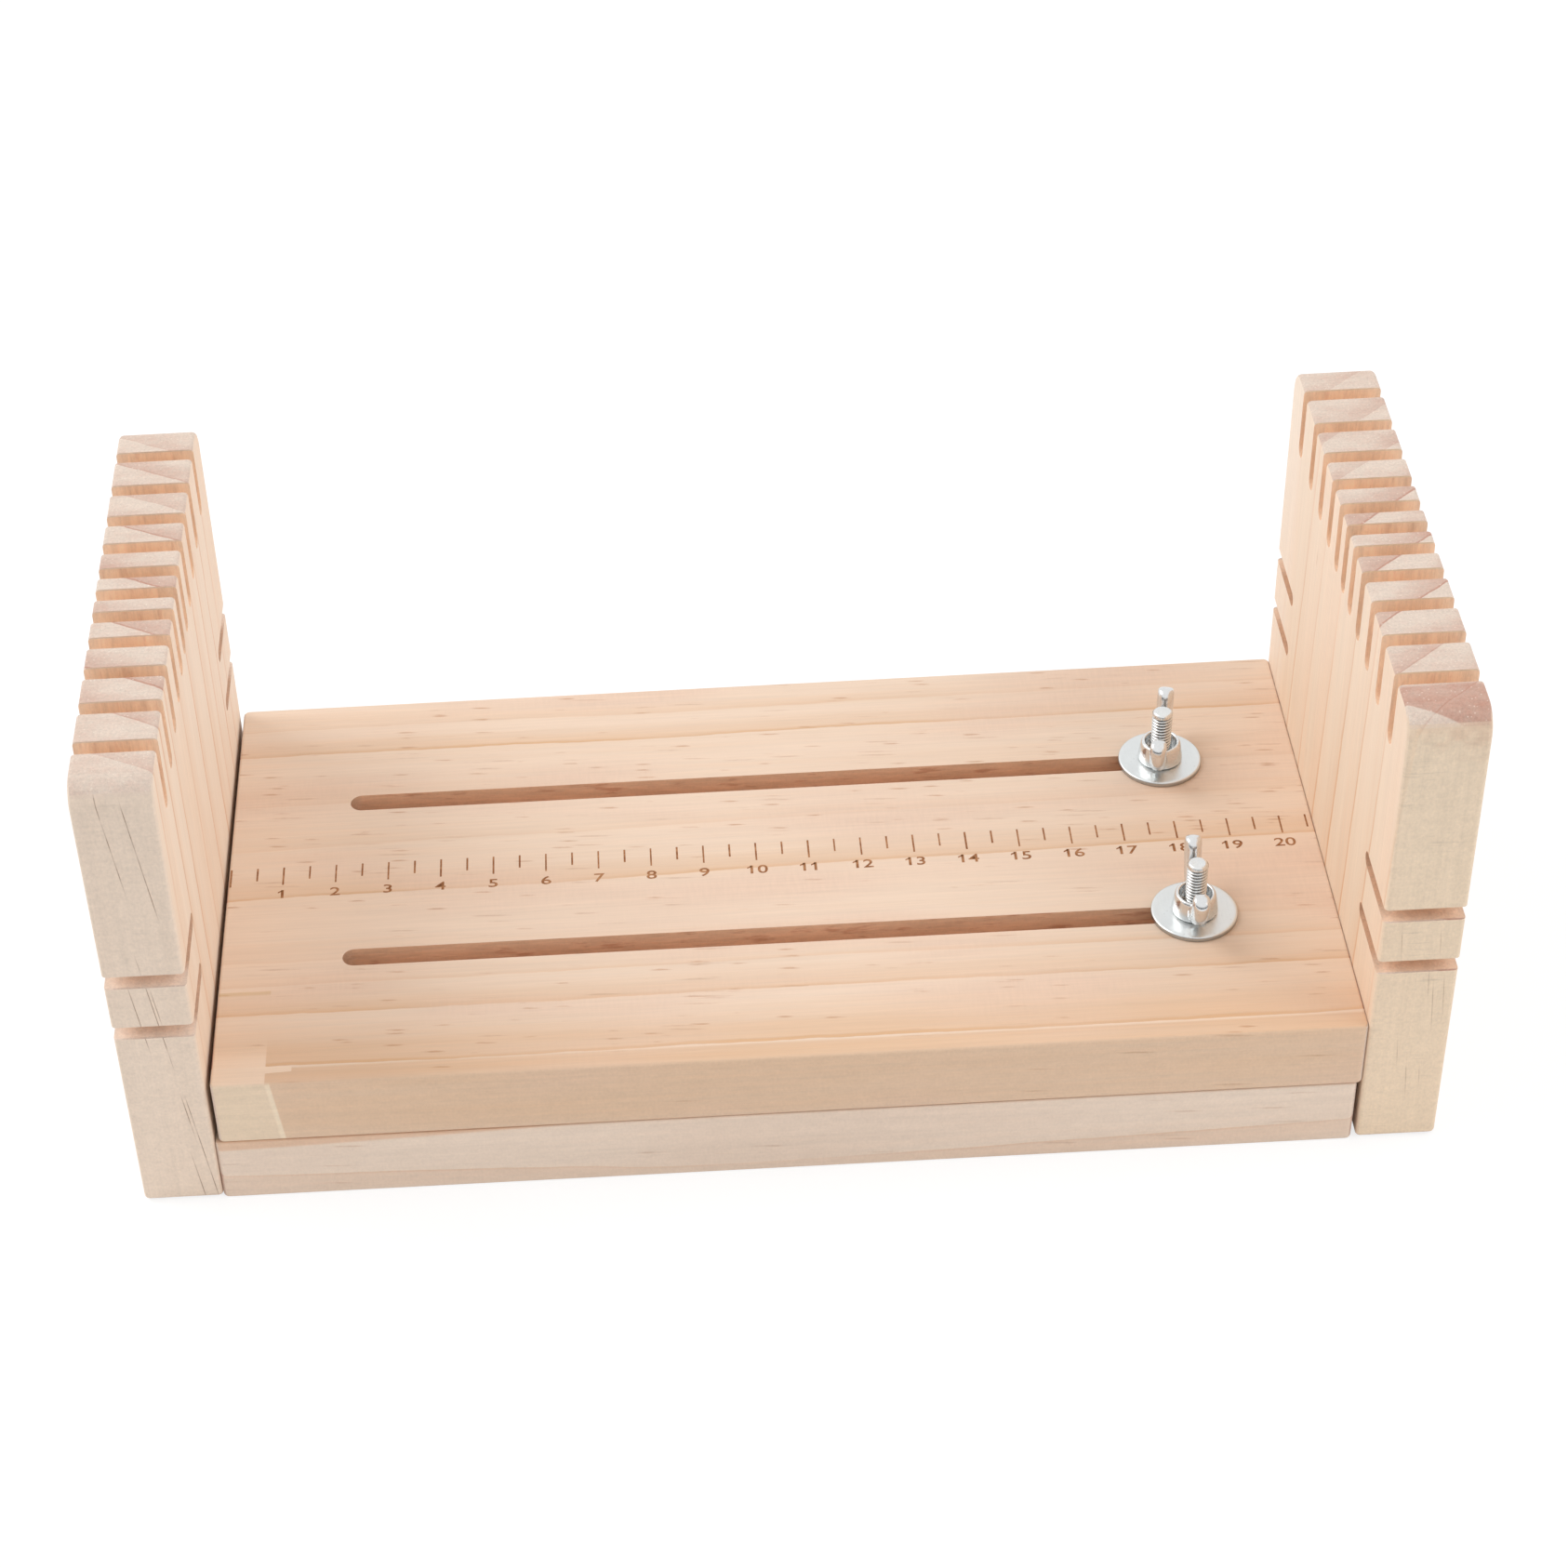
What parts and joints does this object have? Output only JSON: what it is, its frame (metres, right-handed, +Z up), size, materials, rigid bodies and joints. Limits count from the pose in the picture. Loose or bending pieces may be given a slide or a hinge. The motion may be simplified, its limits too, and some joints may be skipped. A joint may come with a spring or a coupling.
{
  "type": "bracelet weaving loom",
  "caption": "Free-standing wooden loom with grooved end plates on two boards that slide apart and are locked by bolts and wing nuts.",
  "frame": {"origin": "on the table under the middle of the loom, with the sliding half nearly closed as pictured", "axes": "+X along the ruler towards the fixed end plate, +Y away from the weaver, +Z up"},
  "size_m": [0.2364, 0.108, 0.098],
  "materials": {
    "pine_board": "sanded bare pine with the grain along the board",
    "pine_plate": "sanded bare pine with upright grain and open end grain on top",
    "zinc_steel": "bright zinc plate",
    "washer_steel": "tumbled zinc plate",
    "screw_steel": "zinc plated wood screw"
  },
  "bodies": {
    "fixed_half": {"upper_board": "pine_board", "fixed_end_plate": "pine_plate", "fixed_plate_screw_1": "screw_steel", "fixed_plate_screw_2": "screw_steel", "fixed_plate_screw_3": "screw_steel"},
    "sliding_half": {"lower_board": "pine_board", "sliding_end_plate": "pine_plate", "sliding_plate_screw_1": "screw_steel", "sliding_plate_screw_2": "screw_steel", "sliding_plate_screw_3": "screw_steel", "front_washer": "washer_steel", "rear_washer": "washer_steel"},
    "front_bolt": {"front_bolt": "zinc_steel"},
    "rear_bolt": {"rear_bolt": "zinc_steel"},
    "front_wing_nut": {"front_wing_nut": "zinc_steel"},
    "rear_wing_nut": {"rear_wing_nut": "zinc_steel"}
  },
  "joints": [
    {"name": "length_slide", "type": "slide", "parent": "fixed_half", "child": "sliding_half", "axis": [-1, 0, 0], "range_m": [0, 0.155]},
    {"name": "front_nut_spin", "type": "hinge", "parent": "sliding_half", "child": "front_wing_nut", "pos_m": [0.0774, -0.0215, 0.0293], "axis": [0, 0, 1], "range_deg": [0, 1080]},
    {"name": "rear_nut_spin", "type": "hinge", "parent": "sliding_half", "child": "rear_wing_nut", "pos_m": [0.0774, 0.0231, 0.0293], "axis": [0, 0, 1], "range_deg": [0, 1080]},
    {"name": "front_bolt_drop", "type": "slide", "parent": "sliding_half", "child": "front_bolt", "axis": [0, 0, -1], "range_m": [0, 0.00212]},
    {"name": "rear_bolt_drop", "type": "slide", "parent": "sliding_half", "child": "rear_bolt", "axis": [0, 0, -1], "range_m": [0, 0.00212]}
  ],
  "couplings": [
    {"joint": "front_bolt_drop", "follows": "front_nut_spin", "m_per_rad": 0.00011141},
    {"joint": "rear_bolt_drop", "follows": "rear_nut_spin", "m_per_rad": 0.00011141}
  ]
}
